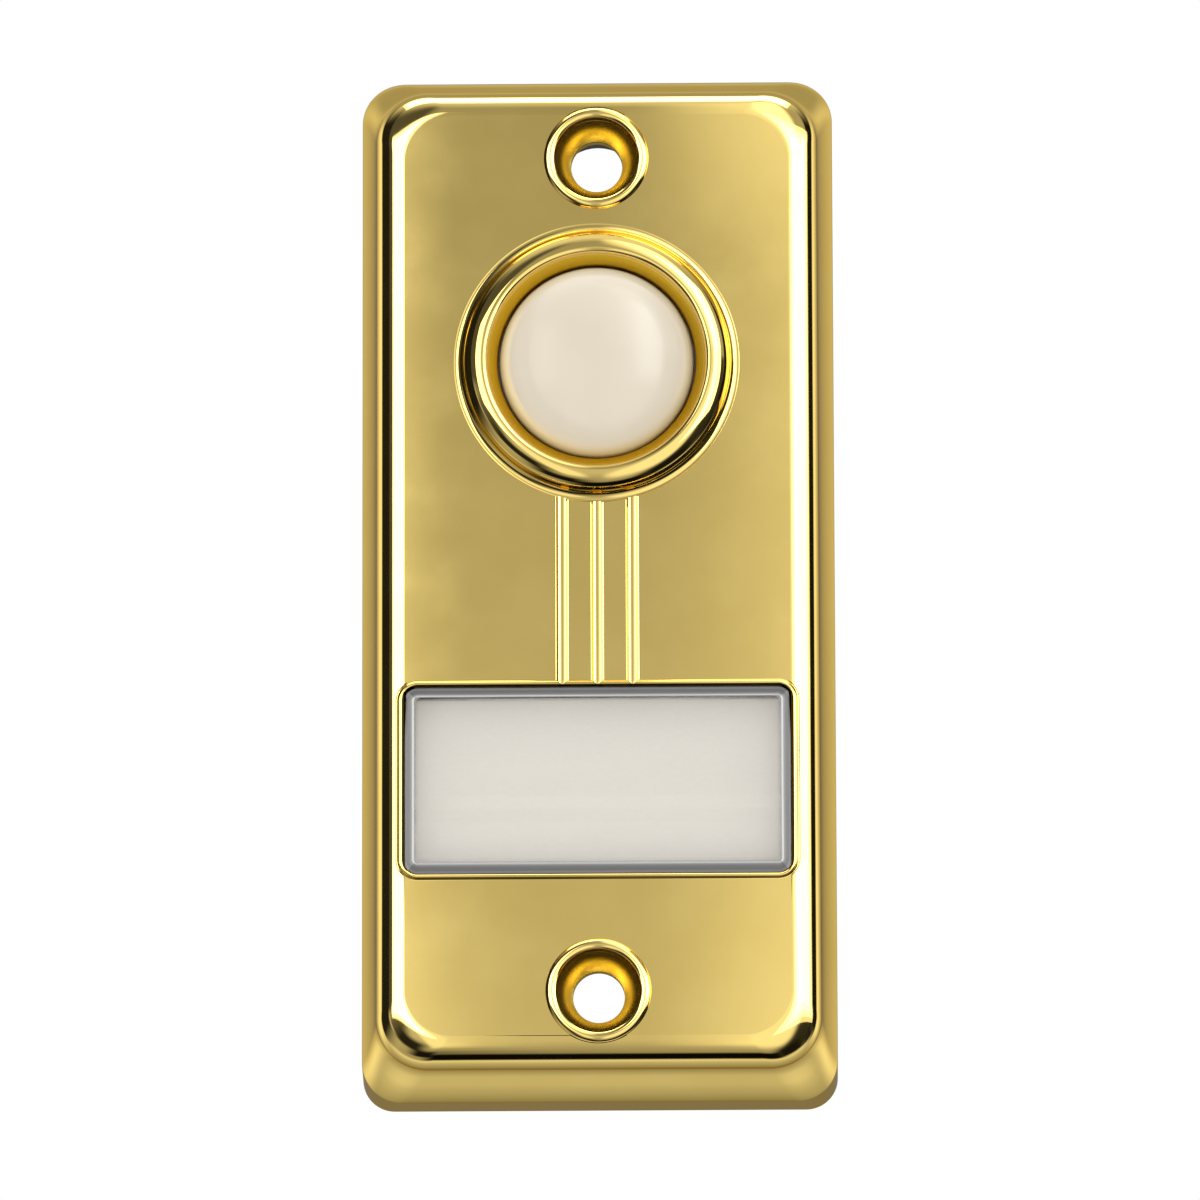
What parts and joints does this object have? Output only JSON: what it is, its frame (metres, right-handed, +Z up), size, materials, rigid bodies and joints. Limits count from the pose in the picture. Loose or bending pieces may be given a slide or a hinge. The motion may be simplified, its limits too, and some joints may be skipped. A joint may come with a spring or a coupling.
{
  "type": "doorbell push button",
  "caption": "Upright brass doorbell push plate with a domed ivory button in a ring, raised ribs, a name window and dished screw places.",
  "frame": {"origin": "centre of the back face, on the wall plane, on the plate's middle line", "axes": "+Z up along the plate, +X to the right as seen from the front, +Y into the wall, so the front faces -Y"},
  "size_m": [0.0462, 0.0172, 0.1016],
  "materials": {
    "polished_brass": "polished",
    "ring_brass": "polished",
    "plated_steel": "zinc plated",
    "ivory_plastic": "smooth gloss",
    "contact_bronze": "satin",
    "spring_steel": "bright",
    "moulded_back": "fine moulded",
    "clear_lens": "clear gloss",
    "blank_card": "plain",
    "silver_point": "bright"
  },
  "bodies": {
    "housing": {"front_cover": "polished_brass", "bezel_ring": "ring_brass", "bezel_nut": "plated_steel", "return_spring": "spring_steel", "base_plate": "moulded_back", "name_window": "clear_lens", "name_card": "blank_card", "window_retainer": "spring_steel", "contact_strip_left": "contact_bronze", "contact_strip_right": "contact_bronze", "contact_point_left": "silver_point", "contact_point_right": "silver_point", "strip_rivet_left": "ring_brass", "strip_rivet_right": "ring_brass", "terminal_screw_left": "plated_steel", "terminal_screw_right": "plated_steel", "terminal_washer_left": "plated_steel", "terminal_washer_right": "plated_steel", "base_screw_left": "plated_steel", "base_screw_right": "plated_steel"},
    "button": {"push_button": "ivory_plastic", "contact_ring": "contact_bronze"}
  },
  "joints": [
    {"name": "button_press", "type": "slide", "parent": "housing", "child": "button", "axis": [0, 1, 0], "range_m": [0, 0.0012], "stiffness_N_per_m": 400, "springref_m": -0.004, "deforming": ["return_spring"]}
  ]
}
